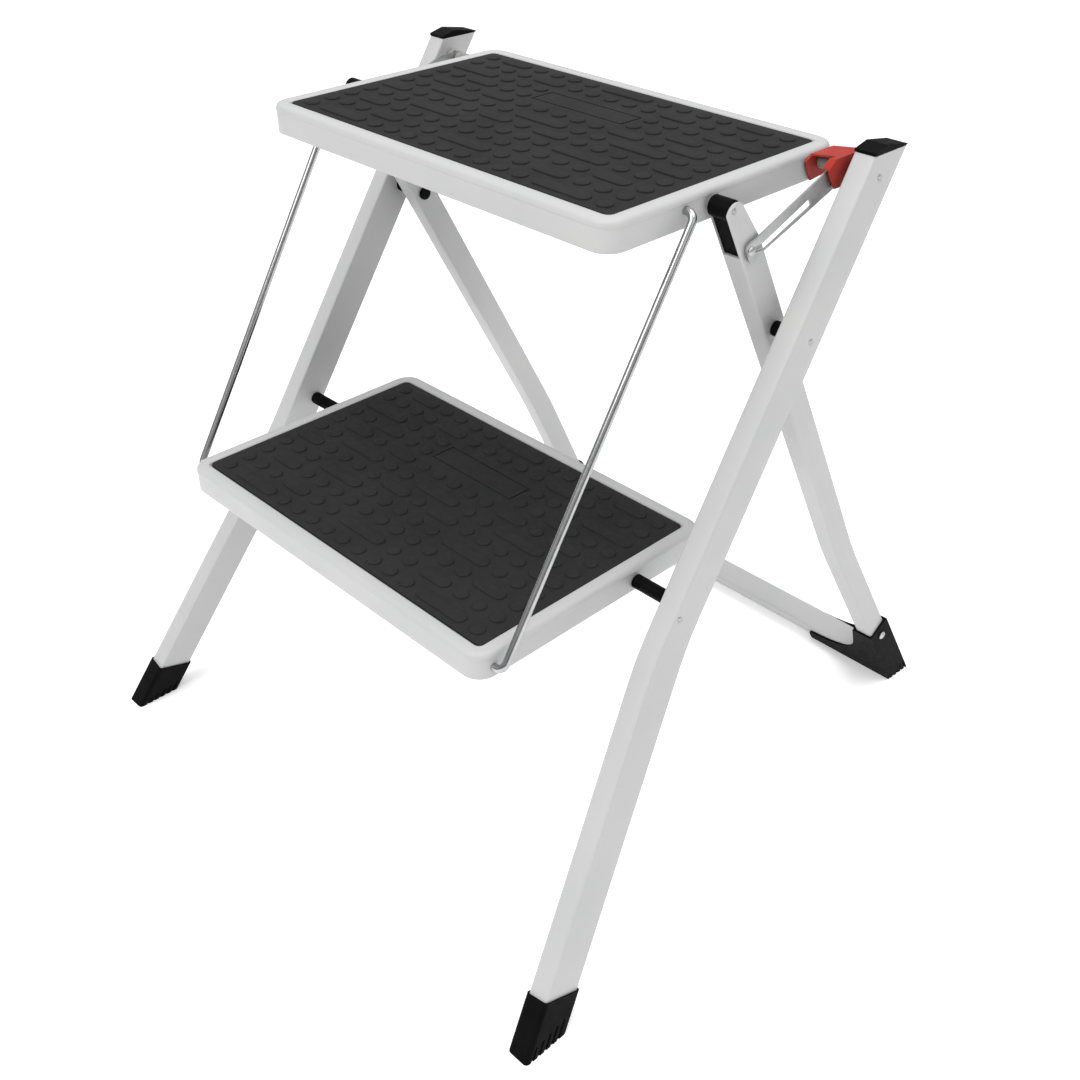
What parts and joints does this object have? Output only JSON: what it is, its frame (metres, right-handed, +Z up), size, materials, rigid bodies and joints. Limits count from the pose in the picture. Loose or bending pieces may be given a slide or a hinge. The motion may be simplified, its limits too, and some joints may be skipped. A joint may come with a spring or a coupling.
{
  "type": "folding step stool",
  "caption": "Folding two-tread step stool: splayed white tube legs that scissor flat, two mat-topped treads tied by link rods, slotted stays and a red latch.",
  "frame": {"origin": "on the floor, under the centre of the object's bounding box, with the stool open and standing", "axes": "+Z up, -Y towards the front where the lower tread is, +X to the right of a person climbing"},
  "size_m": [0.457, 0.4787, 0.4677],
  "materials": {
    "paint": "white powder coat, slight gloss, fine orange peel",
    "tread_rubber": "charcoal moulded mat, matt",
    "black_plastic": "black moulded plastic, satin",
    "rod_chrome": "bright plated wire",
    "zinc": "zinc plated, dull shine",
    "latch_red": "red moulded, satin",
    "nylon": "natural pale nylon, satin"
  },
  "bodies": {
    "front_frame": {"front_leg_left": "paint", "front_leg_right": "paint", "leg_cap_left": "black_plastic", "leg_cap_right": "black_plastic", "front_foot_left": "black_plastic", "front_foot_right": "black_plastic", "top_axle": "zinc", "lower_axle": "zinc", "lower_spacer_left": "black_plastic", "lower_spacer_right": "black_plastic", "leg_rivet_left": "paint", "leg_rivet_right": "paint", "scissor_rivet_left": "zinc", "scissor_rivet_right": "zinc", "scissor_spacer_left": "black_plastic", "scissor_spacer_right": "black_plastic", "axle_sleeve_left": "nylon", "axle_sleeve_right": "nylon", "stay_spacer_left": "nylon", "stay_spacer_right": "nylon"},
    "rear_frame": {"rear_leg_left": "paint", "rear_leg_right": "paint", "rear_cross_tube": "paint", "fork_insert_left": "black_plastic", "fork_insert_right": "black_plastic", "fork_rivet_left": "paint", "fork_rivet_right": "paint", "rear_shoe_left": "black_plastic", "rear_shoe_right": "black_plastic", "shoe_screw_left": "zinc", "shoe_screw_right": "zinc", "stay_rivet_left": "zinc", "stay_rivet_right": "zinc", "scissor_cap_left": "black_plastic", "scissor_cap_right": "black_plastic"},
    "top_step": {"top_tray": "paint", "top_mat": "tread_rubber"},
    "lower_step": {"lower_tray": "paint", "lower_mat": "tread_rubber"},
    "rod_left": {"link_rod_left": "rod_chrome", "rod_clip_top_left": "zinc", "rod_clip_lower_left": "zinc"},
    "rod_right": {"link_rod_right": "rod_chrome", "rod_clip_top_right": "zinc", "rod_clip_lower_right": "zinc"},
    "stay_left": {"stay_bar_left": "zinc"},
    "stay_right": {"stay_bar_right": "zinc"},
    "latch": {"safety_latch": "latch_red"}
  },
  "joints": [
    {"name": "rear_frame_fold", "type": "hinge", "parent": "front_frame", "child": "rear_frame", "pos_m": [0, 0.0229, 0.3686], "axis": [-1, 0, 0], "range_deg": [0, 50]},
    {"name": "top_step_fold", "type": "hinge", "parent": "front_frame", "child": "top_step", "pos_m": [0, 0.073, 0.4508], "axis": [1, 0, 0], "range_deg": [0, 54.5]},
    {"name": "lower_step_fold", "type": "hinge", "parent": "front_frame", "child": "lower_step", "pos_m": [0, -0.0675, 0.2254], "axis": [1, 0, 0], "range_deg": [0, 54.5]},
    {"name": "rod_left_swing", "type": "hinge", "parent": "top_step", "child": "rod_left", "pos_m": [-0.1528, -0.0435, 0.4508], "axis": [-1, 0, 0], "range_deg": [0, 54.5]},
    {"name": "rod_right_swing", "type": "hinge", "parent": "top_step", "child": "rod_right", "pos_m": [0.1528, -0.0435, 0.4508], "axis": [-1, 0, 0], "range_deg": [0, 54.5]},
    {"name": "stay_left_swing", "type": "hinge", "parent": "front_frame", "child": "stay_left", "pos_m": [-0.1651, 0.073, 0.4508], "axis": [1, 0, 0], "range_deg": [0, 19]},
    {"name": "stay_right_swing", "type": "hinge", "parent": "front_frame", "child": "stay_right", "pos_m": [0.1651, 0.073, 0.4508], "axis": [1, 0, 0], "range_deg": [0, 19]},
    {"name": "latch_lift", "type": "hinge", "parent": "front_frame", "child": "latch", "pos_m": [0.1575, 0.073, 0.4508], "axis": [-1, 0, 0], "range_deg": [0, 25]}
  ],
  "couplings": [
    {"joint": "top_step_fold", "follows": "rear_frame_fold", "ratio": 1.08},
    {"joint": "lower_step_fold", "follows": "rear_frame_fold", "ratio": 1.08},
    {"joint": "rod_left_swing", "follows": "rear_frame_fold", "ratio": 1.08},
    {"joint": "rod_right_swing", "follows": "rear_frame_fold", "ratio": 1.08},
    {"joint": "stay_left_swing", "follows": "rear_frame_fold", "ratio": 0.38},
    {"joint": "stay_right_swing", "follows": "rear_frame_fold", "ratio": 0.38}
  ]
}
